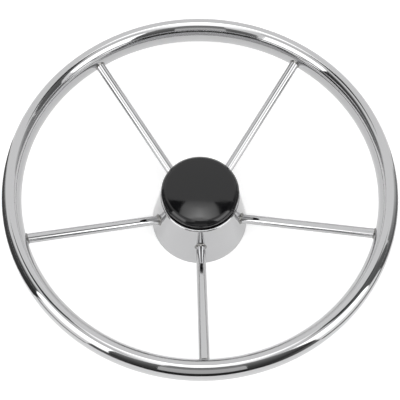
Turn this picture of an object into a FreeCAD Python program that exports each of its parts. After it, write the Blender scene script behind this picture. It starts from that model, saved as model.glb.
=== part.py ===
import FreeCAD, Part
import math
import os
import Sketcher

# Five-spoke steering wheel for a boat's helm, in polished stainless steel with a black plastic cap.
# Lengths are in millimetres. Z runs along the helm shaft towards the person steering. The origin is
# at the middle of the hub cup's rear edge, and the first spoke points along -Y.

Vector = FreeCAD.Vector
doc = FreeCAD.newDocument("SteeringWheel")

SIZES = {
    # Rim: a ring of oval tube, its middle this far above the hub cup's rear edge. The oval's depth runs
    # along the shaft, and it is tightly rounded at the front and back.
    "rim_radius": 187.5,
    "rim_height": 87.8,
    "rim_width": 19.0,
    "rim_depth": 32.0,
    "rim_end_round": 6.6,
    "rim_wall": 1.2,
    # Spokes: solid rods that aim at the middle of the rim tube
    "spoke_count": 5,
    "spoke_radius": 5.0,
    "spoke_slope": 21.6,
    # Hub cup: a pressed cone, open at the back, with a round opening at the front
    "cup_rear_radius": 51.7,
    "cup_draft": 10.2,
    "cup_height": 61.0,
    "cup_sheet": 1.5,
    "cup_shoulder": 2.2,
    "cup_lip": 7.5,
    "spoke_hole_gap": 0.2,
    "spoke_hole_run": 8.0,
    # Hub boss: turned from bar, bored 1 in 12 on diameter for a three-quarter inch tapered shaft
    "boss_radius": 21.0,
    "boss_recess": 3.0,
    "boss_length": 40.0,
    "boss_chamfer": 1.0,
    "bore_large_radius": 9.525,
    "bore_taper": 12.0,
    "keyway_width": 4.76,
    "keyway_depth": 2.4,
    "socket_depth": 7.0,
    "socket_gap": 0.1,
    # Weld beads: how far each climbs along the rod, how much it widens for each millimetre of that,
    # and how far its blank runs in under the surface before it is cut to it
    "rim_weld": 1.6,
    "cup_weld": 2.4,
    "boss_weld": 2.6,
    "weld_flare": 0.5,
    "weld_root": 5.0,
    # Centre cap: moulded, with a domed top that rolls over into a narrower neck, which stands on the
    # cup's front, and a split spigot in the opening
    "cap_setback": 0.8,
    "cap_neck_inset": 0.9,
    "cap_seat_gap": 0.3,
    "cap_skirt": 11.7,
    "cap_crown": 4.0,
    "cap_edge_round": 4.3,
    "cap_wall": 2.2,
    "cap_fit_gap": 0.1,
    "spigot_wall": 1.8,
    "spigot_reach": 7.0,
    "spigot_slots": 6,
    "slot_width": 3.0,
    "slot_length": 6.0,
    "slot_run": 0.9,
}

# Two edges whose sizes differ by less than this many millimetres are the same edge
SAME_EDGE = 1e-4

sheet = doc.addObject("Spreadsheet::Sheet", "sizes")
for row, (alias, value) in enumerate(SIZES.items(), start=1):
    sheet.set(f"A{row}", alias)
    sheet.set(f"B{row}", str(value))
    sheet.setAlias(f"B{row}", alias)
doc.recompute()

# Formulas over the sheet that more than one piece uses. The rim's oval is four arcs: two tight ones at
# its front and back, and two slow ones for its sides, each centred past the middle of the tube.
HALF_WIDTH = "(sizes.rim_width / 2)"
END_OFFSET = "(sizes.rim_depth / 2 - sizes.rim_end_round)"
SIDE_ROUND = (
    f"(({HALF_WIDTH} * {HALF_WIDTH} + {END_OFFSET} * {END_OFFSET}"
    f" - sizes.rim_end_round * sizes.rim_end_round) / (2 * ({HALF_WIDTH} - sizes.rim_end_round)))"
)
SIDE_OFFSET = f"({SIDE_ROUND} - {HALF_WIDTH})"
CUP_LEAN = "tan(sizes.cup_draft)"
CUP_WALL_ACROSS = "sizes.cup_sheet / cos(sizes.cup_draft)"
CUP_FRONT_CORNER = f"(sizes.cup_rear_radius - sizes.cup_height * {CUP_LEAN})"
CUP_OPENING = f"({CUP_FRONT_CORNER} - sizes.cup_lip)"
BOSS_TOP = "(sizes.boss_recess + sizes.boss_length)"
CAP_BOTTOM = "(sizes.cup_height + sizes.cap_seat_gap)"
CAP_EDGE = f"({CAP_BOTTOM} + sizes.cap_skirt)"
CAP_TOP = f"({CAP_EDGE} + sizes.cap_crown)"
CAP_RADIUS = f"({CUP_FRONT_CORNER} - sizes.cap_setback)"
NECK_RADIUS = f"({CAP_RADIUS} - sizes.cap_neck_inset)"
DOME_RADIUS = f"(({CAP_RADIUS} * {CAP_RADIUS} / sizes.cap_crown + sizes.cap_crown) / 2)"
SPIGOT_RADIUS = f"({CUP_OPENING} - sizes.cap_fit_gap)"
SPIGOT_BOTTOM = "(sizes.cup_height - sizes.cup_sheet - sizes.spigot_reach)"
DOME_MIDDLE = f"({CAP_TOP} - {DOME_RADIUS})"
MID_WALL = f"({DOME_RADIUS} - sizes.cap_wall / 2)"
SPIGOT_TOP = f"({DOME_MIDDLE} + sqrt({MID_WALL} * {MID_WALL} - {SPIGOT_RADIUS} * {SPIGOT_RADIUS}))"

# Distance along a spoke's axis, back from the middle of the rim tube, to a surface that it meets
ALONG_TO_RIM = (
    f"(sqrt({SIDE_ROUND} * {SIDE_ROUND}"
    f" - {SIDE_OFFSET} * sin(sizes.spoke_slope) * {SIDE_OFFSET} * sin(sizes.spoke_slope))"
    f" - {SIDE_OFFSET} * cos(sizes.spoke_slope))"
)
ALONG_TO_BOSS = "((sizes.rim_radius - sizes.boss_radius) / cos(sizes.spoke_slope))"
ALONG_TO_CUP = (
    f"((sizes.rim_radius - sizes.cup_rear_radius + sizes.rim_height * {CUP_LEAN})"
    f" / (cos(sizes.spoke_slope) + sin(sizes.spoke_slope) * {CUP_LEAN}))"
)
SPOKE_LENGTH = f"({ALONG_TO_BOSS} + sizes.socket_depth)"


def value_of(formula):
    """The number that a formula over the sheet gives now."""
    result = sheet.evalExpression(formula)
    return float(getattr(result, "Value", result))


def bind(thing, **formulas):
    """Ties properties to formulas over the sheet. A double underscore stands for a dot."""
    for name, formula in formulas.items():
        thing.setExpression(name.replace("__", "."), str(formula))


def new_body(name):
    """An empty body whose label names its file."""
    body = doc.addObject("PartDesign::Body", name)
    body.Label = name
    return body


def origin_part(body, role):
    """One of the body's own origin planes or axes."""
    return next(part for part in body.Origin.OriginFeatures if part.Role == role)


def new_sketch(body, name, plane):
    """An empty sketch on one of the body's origin planes."""
    sketch = body.newObject("Sketcher::SketchObject", name)
    sketch.AttachmentSupport = [(origin_part(body, plane), "")]
    sketch.MapMode = "FlatFace"
    return sketch


def fix_size(sketch, kind, what, formula, label):
    """Adds one dimension to a sketch and ties it to a formula."""
    index = sketch.addConstraint(Sketcher.Constraint(kind, *what, value_of(formula)))
    sketch.renameConstraint(index, label)
    sketch.setExpression(f"Constraints.{label}", formula)


def fix_point(sketch, geometry, place, formulas, label):
    """Holds one point of a sketch at the distances that two formulas give. "0" puts it on an axis."""
    across, up = formulas
    for kind, axis_line, formula in (("DistanceX", -2, across), ("DistanceY", -1, up)):
        if formula == "0":
            sketch.addConstraint(Sketcher.Constraint("PointOnObject", geometry, place, axis_line))
        else:
            fix_size(sketch, kind, (-1, 1, geometry, place), formula, f"{label}_{kind[-1].lower()}")


def outline(sketch, corners):
    """Draws a closed outline of straight lines through corners given as pairs of formulas."""
    points = [Vector(value_of(x), value_of(y), 0) for x, y in corners]
    for i, point in enumerate(points):
        sketch.addGeometry(Part.LineSegment(point, points[(i + 1) % len(points)]), False)
    for i, corner in enumerate(corners):
        sketch.addConstraint(Sketcher.Constraint("Coincident", i, 2, (i + 1) % len(points), 1))
        fix_point(sketch, i, 1, corner, f"corner{i}")


def oval_outline(sketch, inset, label):
    """Draws the rim tube's oval, set in by a formula from its outer surface."""
    middle = Vector(value_of("sizes.rim_radius"), value_of("sizes.rim_height"), 0)
    to_end, to_side = value_of(END_OFFSET), value_of(SIDE_OFFSET)
    end_round = f"sizes.rim_end_round - {inset}"
    side_round = f"{SIDE_ROUND} - {inset}"
    join = math.atan2(to_end, to_side)
    first = sketch.GeometryCount
    for number, (aside, along, radius, half_turn) in enumerate(
        (
            (-to_side, 0, side_round, join),
            (0, to_end, end_round, math.pi / 2 - join),
            (to_side, 0, side_round, join),
            (0, -to_end, end_round, math.pi / 2 - join),
        )
    ):
        circle = Part.Circle(middle + Vector(aside, along, 0), Vector(0, 0, 1), value_of(radius))
        facing = number * math.pi / 2
        sketch.addGeometry(Part.ArcOfCircle(circle, facing - half_turn, facing + half_turn), False)
    for number in range(4):
        after = first + (number + 1) % 4
        sketch.addConstraint(Sketcher.Constraint("Tangent", first + number, 2, after, 1))
    for number, sign in ((1, "+"), (3, "-")):
        place = ("sizes.rim_radius", f"sizes.rim_height {sign} {END_OFFSET}")
        fix_point(sketch, first + number, 3, place, f"{label}_end{number}")
        fix_size(sketch, "Radius", (first + number,), end_round, f"{label}_end{number}_round")
        fix_size(sketch, "Radius", (first + number - 1,), side_round, f"{label}_side{number}_round")


def ring_outline(sketch, centre, radii):
    """Draws circles of the given radii, as formulas, about one centre."""
    middle = Vector(value_of(centre[0]), value_of(centre[1]), 0)
    for number, radius in enumerate(radii):
        sketch.addGeometry(Part.Circle(middle, Vector(0, 0, 1), value_of(radius)), False)
        if number == 0:
            fix_point(sketch, 0, 3, centre, "centre")
        else:
            sketch.addConstraint(Sketcher.Constraint("Coincident", number, 3, 0, 3))
        fix_size(sketch, "Radius", (number,), radius, f"radius{number}")


def check_cut(body, before, what):
    """Makes sure that a new cut took something away."""
    doc.recompute()
    if not body.Shape.Volume < before:
        raise RuntimeError(f"{what} cuts nothing")


def turn(body, sketch, name):
    """Revolves a sketch a full turn about its upright axis."""
    feature = body.newObject("PartDesign::Revolution", name)
    feature.Profile = sketch
    feature.ReferenceAxis = (sketch, ["V_Axis"])
    feature.Angle = 360
    doc.recompute()


def circle_edges(shape, radius, height):
    """Names of the round edges about Z that have this radius and height."""
    names = []
    for number, edge in enumerate(shape.Edges, start=1):
        if edge.Degenerated:
            continue
        curve = edge.Curve
        if curve.TypeId != "Part::GeomCircle":
            continue
        apart = (curve.Center - Vector(0, 0, height)).Length + abs(curve.Radius - radius)
        if apart < SAME_EDGE:
            names.append(f"Edge{number}")
    if not names:
        raise RuntimeError(f"no round edge of radius {radius} at height {height}")
    return names


def round_edge(body, name, radius, at):
    """Rounds the circular edge found at a radius and height, both given as formulas."""
    base = body.Tip
    feature = body.newObject("PartDesign::Fillet", name)
    feature.Base = (base, circle_edges(base.Shape, value_of(at[0]), value_of(at[1])))
    bind(feature, Radius=radius)
    doc.recompute()


def along_spoke(thing, distance):
    """Sets a primitive on the first spoke's axis, pointing outwards along it.

    distance is a formula: how far its start lies from the middle of the rim tube.
    """
    turned = FreeCAD.Rotation(Vector(1, 0, 0), 90 - value_of("sizes.spoke_slope"))
    thing.Placement = FreeCAD.Placement(Vector(0, 0, 0), turned)
    bind(
        thing,
        Placement__Rotation__Angle="90 - sizes.spoke_slope",
        Placement__Base__y=f"-sizes.rim_radius + {distance} * cos(sizes.spoke_slope)",
        Placement__Base__z=f"sizes.rim_height - {distance} * sin(sizes.spoke_slope)",
    )


def drill_for_spokes(body, name, start, length, gap):
    """Cuts one round hole along the first spoke, and repeats it for the others."""
    before = body.Shape.Volume
    hole = body.newObject("PartDesign::SubtractiveCylinder", name)
    bind(hole, Radius=f"sizes.spoke_radius + {gap}", Height=length)
    along_spoke(hole, start)
    check_cut(body, before, name)
    repeat(body, hole, "sizes.spoke_count")


def repeat(body, feature, count):
    """Repeats a feature evenly about the Z axis."""
    pattern = body.newObject("PartDesign::PolarPattern", feature.Name + "Pattern")
    pattern.Originals = [feature]
    pattern.Axis = (origin_part(body, "Z_Axis"), [""])
    pattern.Angle = 360
    bind(pattern, Occurrences=count)
    body.Tip = pattern
    doc.recompute()


def make_rim():
    """The rim: oval tube bent to a ring, with its butt weld dressed flush."""
    body = new_body("rim_tube")
    sketch = new_sketch(body, "RimSection", "XZ_Plane")
    oval_outline(sketch, "0", "outside")
    oval_outline(sketch, "sizes.rim_wall", "inside")
    turn(body, sketch, "RimBend")
    return body


def make_cup():
    """The hub cup: sheet pressed to a cone with a rounded shoulder and an opening for the cap."""
    body = new_body("hub_cup")
    sketch = new_sketch(body, "CupSection", "XZ_Plane")
    inner_front = f"({CUP_FRONT_CORNER} + sizes.cup_sheet * {CUP_LEAN} - {CUP_WALL_ACROSS})"
    under_front = "(sizes.cup_height - sizes.cup_sheet)"
    outline(
        sketch,
        [
            (f"sizes.cup_rear_radius - {CUP_WALL_ACROSS}", "0"),
            ("sizes.cup_rear_radius", "0"),
            (CUP_FRONT_CORNER, "sizes.cup_height"),
            (CUP_OPENING, "sizes.cup_height"),
            (CUP_OPENING, under_front),
            (inner_front, under_front),
        ],
    )
    turn(body, sketch, "CupPressing")
    round_edge(body, "ShoulderOutside", "sizes.cup_shoulder", (CUP_FRONT_CORNER, "sizes.cup_height"))
    inside = "sizes.cup_shoulder - sizes.cup_sheet"
    round_edge(body, "ShoulderInside", inside, (inner_front, under_front))
    start = f"({ALONG_TO_CUP} + sizes.spoke_hole_run)"
    drill_for_spokes(body, "SpokeHole", start, "2 * sizes.spoke_hole_run", "sizes.spoke_hole_gap")
    return body


def make_boss():
    """The hub boss: turned and bored to a taper, with a keyway and a drilled socket for each spoke."""
    body = new_body("hub_boss")
    sketch = new_sketch(body, "BossSection", "XZ_Plane")
    small_radius = "sizes.bore_large_radius - sizes.boss_length / (2 * sizes.bore_taper)"
    outline(
        sketch,
        [
            ("sizes.bore_large_radius", "sizes.boss_recess"),
            ("sizes.boss_radius - sizes.boss_chamfer", "sizes.boss_recess"),
            ("sizes.boss_radius", "sizes.boss_recess + sizes.boss_chamfer"),
            ("sizes.boss_radius", f"{BOSS_TOP} - sizes.boss_chamfer"),
            ("sizes.boss_radius - sizes.boss_chamfer", BOSS_TOP),
            (small_radius, BOSS_TOP),
        ],
    )
    turn(body, sketch, "BossTurning")
    cut_keyway(body, small_radius)
    drill_for_spokes(
        body, "SpokeSocket", SPOKE_LENGTH, "sizes.socket_depth + sizes.boss_radius", "sizes.socket_gap"
    )
    return body


def cut_keyway(body, small_radius):
    """Cuts the keyway along the bore's far side, its floor parallel to the taper."""
    before = body.Shape.Volume
    sketch = new_sketch(body, "KeywayFloor", "YZ_Plane")
    outline(
        sketch,
        [
            ("sizes.bore_large_radius / 2", "sizes.boss_recess"),
            ("sizes.bore_large_radius + sizes.keyway_depth", "sizes.boss_recess"),
            (f"{small_radius} + sizes.keyway_depth", BOSS_TOP),
            ("sizes.bore_large_radius / 2", BOSS_TOP),
        ],
    )
    keyway = body.newObject("PartDesign::Pocket", "Keyway")
    keyway.Profile = sketch
    keyway.SideType = "Symmetric"
    bind(keyway, Length="sizes.keyway_width")
    check_cut(body, before, "the keyway")


def make_cap():
    """The centre cap: domed top with a rounded edge, a neck below it and a split spigot."""
    body = new_body("centre_cap")
    sketch = new_sketch(body, "CapSection", "XZ_Plane")
    draw_cap_section(sketch)
    turn(body, sketch, "CapMoulding")

    ring = new_sketch(body, "SpigotRing", "XY_Plane")
    bind(ring, AttachmentOffset__Base__z=SPIGOT_BOTTOM)
    ring_outline(ring, ("0", "0"), (SPIGOT_RADIUS, f"{SPIGOT_RADIUS} - sizes.spigot_wall"))
    spigot = body.newObject("PartDesign::Pad", "Spigot")
    spigot.Profile = ring
    bind(spigot, Length=f"{SPIGOT_TOP} - {SPIGOT_BOTTOM}")
    doc.recompute()

    before = body.Shape.Volume
    slot = body.newObject("PartDesign::SubtractiveBox", "SpigotSlot")
    bind(
        slot,
        Length="sizes.spigot_wall + 2 * sizes.slot_run",
        Width="sizes.slot_width",
        Height="sizes.slot_length + sizes.slot_run",
        Placement__Base__x=f"{SPIGOT_RADIUS} - sizes.spigot_wall - sizes.slot_run",
        Placement__Base__y="-sizes.slot_width / 2",
        Placement__Base__z=f"{SPIGOT_BOTTOM} - sizes.slot_run",
    )
    check_cut(body, before, "the spigot slot")
    repeat(body, slot, "sizes.spigot_slots")
    return body


def draw_cap_section(sketch):
    """Half section of the cap's top and neck: a dome that rolls over its edge and in to the neck."""
    dome = value_of(DOME_RADIUS)
    edge_round = value_of("sizes.cap_edge_round")
    outside = value_of(CAP_RADIUS)
    neck = value_of(NECK_RADIUS)
    inside = neck - value_of("sizes.cap_wall")
    top = value_of(CAP_TOP)
    ceiling = top - value_of("sizes.cap_wall")
    bottom = value_of(CAP_BOTTOM)

    dome_middle = Vector(0, top - dome, 0)
    rise = math.sqrt((dome - edge_round) ** 2 - (outside - edge_round) ** 2)
    edge_middle = dome_middle + Vector(outside - edge_round, rise, 0)
    edge_angle = math.atan2(rise, outside - edge_round)
    neck_angle = math.acos((neck - edge_middle.x) / edge_round)
    under_edge = edge_middle.y - edge_round * math.sin(neck_angle)
    inner_dome = dome - value_of("sizes.cap_wall")
    inner_rise = math.sqrt(inner_dome**2 - inside**2)
    inner_angle = math.atan2(inner_rise, inside)
    inner_edge = dome_middle.y + inner_rise
    up = Vector(0, 0, 1)
    sketch.addGeometry(
        [
            Part.ArcOfCircle(Part.Circle(dome_middle, up, dome), edge_angle, math.pi / 2),
            Part.ArcOfCircle(Part.Circle(edge_middle, up, edge_round), -neck_angle, edge_angle),
            Part.LineSegment(Vector(neck, under_edge, 0), Vector(neck, bottom, 0)),
            Part.LineSegment(Vector(neck, bottom, 0), Vector(inside, bottom, 0)),
            Part.LineSegment(Vector(inside, bottom, 0), Vector(inside, inner_edge, 0)),
            Part.ArcOfCircle(Part.Circle(dome_middle, up, inner_dome), inner_angle, math.pi / 2),
            Part.LineSegment(Vector(0, ceiling, 0), Vector(0, top, 0)),
        ],
        False,
    )
    sketch.addConstraint(Sketcher.Constraint("Tangent", 0, 1, 1, 2))
    joins = ((1, 1, 2, 1), (2, 2, 3, 1), (3, 2, 4, 1), (4, 2, 5, 1), (5, 2, 6, 1), (6, 2, 0, 2))
    for join in (*joins, (5, 3, 0, 3)):
        sketch.addConstraint(Sketcher.Constraint("Coincident", *join))
    sketch.addConstraint(Sketcher.Constraint("PointOnObject", 0, 3, -2))
    for wall in (2, 4):
        sketch.addConstraint(Sketcher.Constraint("Vertical", wall))
    fix_size(sketch, "Radius", (0,), DOME_RADIUS, "dome")
    fix_size(sketch, "Radius", (1,), "sizes.cap_edge_round", "edge")
    fix_size(sketch, "DistanceX", (-1, 1, 1, 3), f"{CAP_RADIUS} - sizes.cap_edge_round", "edge_middle")
    fix_point(sketch, 6, 2, ("0", CAP_TOP), "top")
    fix_point(sketch, 2, 2, (NECK_RADIUS, CAP_BOTTOM), "neck")
    fix_point(sketch, 3, 2, (f"{NECK_RADIUS} - sizes.cap_wall", CAP_BOTTOM), "inside")
    fix_point(sketch, 5, 2, ("0", f"{CAP_TOP} - sizes.cap_wall"), "ceiling")


def make_rod():
    """A plain rod along the first spoke's axis, from its socket to the middle of the rim tube."""
    blank = doc.addObject("Part::Cylinder", "Rod")
    bind(blank, Radius="sizes.spoke_radius", Height=SPOKE_LENGTH)
    along_spoke(blank, SPOKE_LENGTH)
    return blank


def cut(name, base, tool):
    """One solid less another."""
    result = doc.addObject("Part::Cut", name)
    result.Base = base
    result.Tool = tool
    return result


def make_bead(name, carrier, surface, climb, towards_rim):
    """One weld bead: a flared collar round the first spoke's rod, cut to the piece that carries it.

    surface is how far the carrier's surface lies from the middle of the rim tube, along the spoke,
    and climb is the bead's length along the rod. The rod leaves a hub piece towards the rim, and
    leaves the rim towards the hub.
    """
    collar = doc.addObject("Part::Cone", name + "Collar")
    narrow = "sizes.spoke_radius"
    wide = f"{narrow} + sizes.weld_flare * ({climb} + sizes.weld_root)"
    bind(
        collar,
        Radius1=wide if towards_rim else narrow,
        Radius2=narrow if towards_rim else wide,
        Height=f"{climb} + sizes.weld_root",
    )
    along_spoke(collar, f"({surface} + {'sizes.weld_root' if towards_rim else climb})")
    return cut(name, cut(name + "Ring", collar, rod), carrier)


def make_rim_form():
    """The rim's outer form, solid, to cope the rods and seat the beads."""
    form = new_body("RimForm")
    sketch = new_sketch(form, "RimFormSection", "XZ_Plane")
    oval_outline(sketch, "0", "outside")
    turn(form, sketch, "RimFormBend")
    return form


def make_cup_form():
    """The hub cup's outer form, solid, to seat its beads."""
    form = doc.addObject("Part::Cone", "CupForm")
    bind(form, Radius1="sizes.cup_rear_radius", Radius2=CUP_FRONT_CORNER, Height="sizes.cup_height")
    return form


def make_boss_form():
    """The hub boss's outer form, solid, to seat its beads.

    It runs a boss's length past both ends, so that nothing of a bead's blank is left over in there.
    """
    form = doc.addObject("Part::Cylinder", "BossForm")
    bind(form, Radius="sizes.boss_radius", Height="3 * sizes.boss_length")
    bind(form, Placement__Base__z="sizes.boss_recess - sizes.boss_length")
    return form


def spread(name, form):
    """Sets a copy of a form at every spoke, each its own sub-part."""
    doc.recompute()
    count = int(value_of("sizes.spoke_count"))
    pieces = []
    for number in range(count):
        piece = doc.addObject("Part::Feature", f"{name}_{number + 1}")
        piece.Label = f"{name}_{number + 1}"
        piece.Shape = form.Shape
        turned = FreeCAD.Rotation(Vector(0, 0, 1), 360 * number / count)
        piece.Placement = FreeCAD.Placement(Vector(0, 0, 0), turned)
        pieces.append(piece)
    return pieces


rod = make_rod()
rim_form = make_rim_form()
rim_bead = make_bead("RimBead", rim_form, ALONG_TO_RIM, "sizes.rim_weld", False)
cup_bead = make_bead("CupBead", make_cup_form(), ALONG_TO_CUP, "sizes.cup_weld", True)
boss_bead = make_bead("BossBead", make_boss_form(), ALONG_TO_BOSS, "sizes.boss_weld", True)

sub_parts = [make_rim(), make_cup(), make_boss(), make_cap()]
sub_parts += spread("spoke", cut("CopedRod", rod, rim_form))
sub_parts += spread("rim_weld", rim_bead)
sub_parts += spread("cup_weld", cup_bead)
sub_parts += spread("boss_weld", boss_bead)
doc.recompute()

for thing in doc.Objects:
    if "Invalid" in thing.State or "Error" in thing.State:
        raise RuntimeError(f"{thing.Label} didn't recompute")
for piece in sub_parts:
    if piece.Shape.isNull() or not piece.Shape.isValid():
        raise RuntimeError(f"{piece.Label} has no valid shape")
    if len(piece.Shape.Solids) != 1:
        raise RuntimeError(f"{piece.Label} isn't one solid")

os.makedirs("parts", exist_ok=True)
for piece in sub_parts:
    piece.Shape.exportStep(f"parts/{piece.Label}.step")
    print(f"{piece.Label}: {piece.Shape.Volume:.0f} mm3")
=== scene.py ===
"""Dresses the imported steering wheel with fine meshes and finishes, and sets up its studio.

Lengths are in metres. Z runs along the helm shaft towards the person steering, the origin is at the
middle of the hub cup's rear edge, and the first spoke points along -Y.
"""

import math

import bmesh
import bpy
from mathutils import Matrix, Vector


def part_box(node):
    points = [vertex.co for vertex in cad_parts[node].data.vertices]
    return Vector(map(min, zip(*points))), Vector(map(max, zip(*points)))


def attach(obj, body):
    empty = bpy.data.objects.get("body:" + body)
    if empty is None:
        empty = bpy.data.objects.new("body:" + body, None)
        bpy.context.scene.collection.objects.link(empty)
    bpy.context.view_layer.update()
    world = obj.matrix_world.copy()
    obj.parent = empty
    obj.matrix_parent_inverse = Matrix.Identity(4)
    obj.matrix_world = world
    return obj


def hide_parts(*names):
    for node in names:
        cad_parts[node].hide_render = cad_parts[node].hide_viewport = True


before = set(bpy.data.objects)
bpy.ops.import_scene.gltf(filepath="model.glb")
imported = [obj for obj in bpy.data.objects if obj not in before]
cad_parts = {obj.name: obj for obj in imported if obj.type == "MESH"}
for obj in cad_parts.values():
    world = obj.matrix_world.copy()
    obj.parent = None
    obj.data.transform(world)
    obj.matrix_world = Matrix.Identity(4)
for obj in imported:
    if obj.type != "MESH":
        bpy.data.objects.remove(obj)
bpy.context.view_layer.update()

bl_info = {
    "name": "Boat Steering Wheel",
    "version": (1, 0, 0),
    "blender": (4, 5, 0),
    "location": "View3D > Sidebar > Helm Wheel",
    "description": "Five-spoke stainless steering wheel with a black plastic centre cap",
    "category": "Add Mesh",
}

MM = 0.001
SPOKES = 5
METAL, NOT_METAL = 1, 0
RIM_LOW, RIM_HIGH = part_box("rim_tube")
CUP_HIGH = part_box("hub_cup")[1]
BOSS_LOW, BOSS_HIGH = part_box("hub_boss")
CAP_LOW, CAP_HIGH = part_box("centre_cap")


# ---------------------------------------------------------------- sizes and colours


def linear_colour(hex_code):
    """The linear red, green and blue of an sRGB colour written as six hex digits."""
    levels = [int(hex_code[i : i + 2], 16) / 255 for i in (0, 2, 4)]
    return tuple(v / 12.92 if v <= 0.04045 else ((v + 0.055) / 1.055) ** 2.4 for v in levels)


def length(name, description, default):
    """A length that a user may change, in metres."""
    return bpy.props.FloatProperty(
        name=name, description=description, default=default, min=0, precision=5,
        unit="LENGTH", subtype="DISTANCE",
    )


def angle(name, description, degrees):
    """An angle that a user may change."""
    return bpy.props.FloatProperty(
        name=name, description=description, default=math.radians(degrees),
        unit="ROTATION", subtype="ANGLE",
    )


def colour(name, description, hex_code):
    """A colour that a user may change."""
    return bpy.props.FloatVectorProperty(
        name=name, description=description, default=linear_colour(hex_code), size=3,
        min=0, max=1, subtype="COLOR",
    )


class RimSizes(bpy.types.PropertyGroup):
    outer_radius: length("Outer radius", "From the shaft's axis to the rim's outside", RIM_HIGH.x)
    low: length("Underside", "Height of the rim's back above the hub's rear edge", RIM_LOW.z)
    depth: length("Tube depth", "The oval's size along the shaft", RIM_HIGH.z - RIM_LOW.z)
    width: length("Tube width", "The oval's size across the shaft", 19 * MM)
    end_round: length("End round", "Radius of the oval's front and back", 6.6 * MM)


class SpokeSizes(bpy.types.PropertyGroup):
    radius: length("Rod radius", "Half the thickness of a spoke", 5 * MM)
    slope: angle("Slope", "How steeply a spoke climbs to the rim", 21.6)
    rim_leg: length("Rim weld", "Length of the weld's leg along the rod at the rim", 1.6 * MM)
    cup_leg: length("Cup weld", "Length of the weld's leg along the rod at the hub cup", 2.4 * MM)
    boss_leg: length("Boss weld", "Length of the weld's leg along the rod at the boss", 2.6 * MM)
    ripple: length("Weld ripple", "Distance from one ripple of a weld to the next", 1.3 * MM)


class HubSizes(bpy.types.PropertyGroup):
    rear_radius: length("Rear radius", "Outside of the hub cup's rear edge", CUP_HIGH.x)
    height: length("Height", "From the hub cup's rear edge to its front", CUP_HIGH.z)
    draft: angle("Draft", "How much the hub cup's wall leans in", 10.2)
    sheet: length("Sheet", "Thickness of the pressed sheet", 1.5 * MM)
    shoulder: length("Shoulder", "Outside radius of the bend at the front", 2.2 * MM)
    lip: length("Lip", "Width of the front from its corner to the opening", 7.5 * MM)
    boss_radius: length("Boss radius", "Outside of the boss", BOSS_HIGH.x)
    boss_rear: length("Boss rear", "Height of the boss's rear face", BOSS_LOW.z)
    boss_front: length("Boss front", "Height of the boss's front face", BOSS_HIGH.z)
    boss_chamfer: length("Boss chamfer", "Bevel at both ends of the boss", 1 * MM)
    bore_radius: length("Bore radius", "Large end of the tapered bore", 9.525 * MM)
    bore_taper: bpy.props.FloatProperty(
        name="Bore taper", description="Length over which the bore's diameter loses one unit",
        default=12, min=1,
    )
    keyway_width: length("Keyway width", "Width of the slot for the key", 4.76 * MM)
    keyway_depth: length("Keyway depth", "Depth of the slot for the key", 2.4 * MM)


class CapSizes(bpy.types.PropertyGroup):
    radius: length("Radius", "Outside of the cap's rounded edge", CAP_HIGH.x)
    neck_inset: length("Neck inset", "How far the neck under the edge is set in", 3.4 * MM)
    neck_low: length("Neck bottom", "Height of the neck's lower edge", 61.3 * MM)
    # The dome stands 1.4 mm over the solid's, which has a plain rounded edge without a crease
    top: length("Top", "Height of the middle of the dome", CAP_HIGH.z + 1.4 * MM)
    dome: length("Dome radius", "How gently the dome is rounded", 201 * MM)
    crease: length("Crease", "Radius where the dome breaks into the sloping side", 34.6 * MM)
    side_start: angle("Side start", "Slope of the side at the crease", 24)
    side_end: angle("Side end", "Slope of the side where it rolls under", 60)
    edge_round: length("Edge round", "Radius of the roll from the side to the neck", 2 * MM)
    wall: length("Wall", "Thickness of the moulding", 2.2 * MM)
    spigot_radius: length("Spigot radius", "Outside of the split spigot", 33.12 * MM)
    spigot_wall: length("Spigot wall", "Thickness of the spigot's fingers", 1.8 * MM)
    spigot_low: length("Spigot bottom", "Height of the fingers' tips", CAP_LOW.z)
    slot_width: length("Slot width", "Gap between two fingers", 3 * MM)
    slot_length: length("Slot length", "Length of the gap between two fingers", 6 * MM)
    fingers: bpy.props.IntProperty(
        name="Fingers", description="Number of spigot fingers", default=6, min=3
    )


class Finishes(bpy.types.PropertyGroup):
    polished_steel: colour("Polished steel", "Mirror finish of the rim, rods and cup", "C3C3C4")
    dull_steel: colour("Dull steel", "As-pressed finish inside the cup", "A9A9A8")
    turned_steel: colour("Turned steel", "Machined finish of the boss", "B4B4B4")
    weld_steel: colour("Weld steel", "Dressed weld metal", "8C8B89")
    black_plastic: colour("Black plastic", "The moulded cap", "0C0C0E")


class StudioSizes(bpy.types.PropertyGroup):
    camera_distance: length("Camera distance", "From the camera to the point that it faces", 810 * MM)
    camera_elevation: angle("Camera elevation", "How high above the rim's plane the camera stands", 65)
    camera_turn: angle("Camera turn", "Turn of the camera, lamps and cards about the shaft", -2.49)
    camera_roll: angle("Camera roll", "Tilt of the picture", 1.45)
    camera_aim: length("Camera aim", "From the shaft's axis to the point that it faces", 18 * MM)
    lamp_level: bpy.props.FloatProperty(
        name="Lamp level", description="Brightness of the lamps' faces, where 1 is white",
        default=1.5, min=0,
    )
    room_level: bpy.props.FloatProperty(
        name="Room level", description="Even light from the room, where 1 is white",
        default=0.45, min=0,
    )
    floor_colour: colour("Floor", "Matt paper under the wheel", "F3F3F3")


class WheelSettings(bpy.types.PropertyGroup):
    rim: bpy.props.PointerProperty(type=RimSizes)
    spoke: bpy.props.PointerProperty(type=SpokeSizes)
    hub: bpy.props.PointerProperty(type=HubSizes)
    cap: bpy.props.PointerProperty(type=CapSizes)
    finish: bpy.props.PointerProperty(type=Finishes)
    studio: bpy.props.PointerProperty(type=StudioSizes)


# ---------------------------------------------------------------- outlines and meshes


def arc(centre, radius, start, sweep, steps):
    """Points along an arc, from the angle start through sweep, both in radians."""
    turns = [start + sweep * i / steps for i in range(steps + 1)]
    return [(centre[0] + radius * math.cos(t), centre[1] + radius * math.sin(t)) for t in turns]


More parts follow.
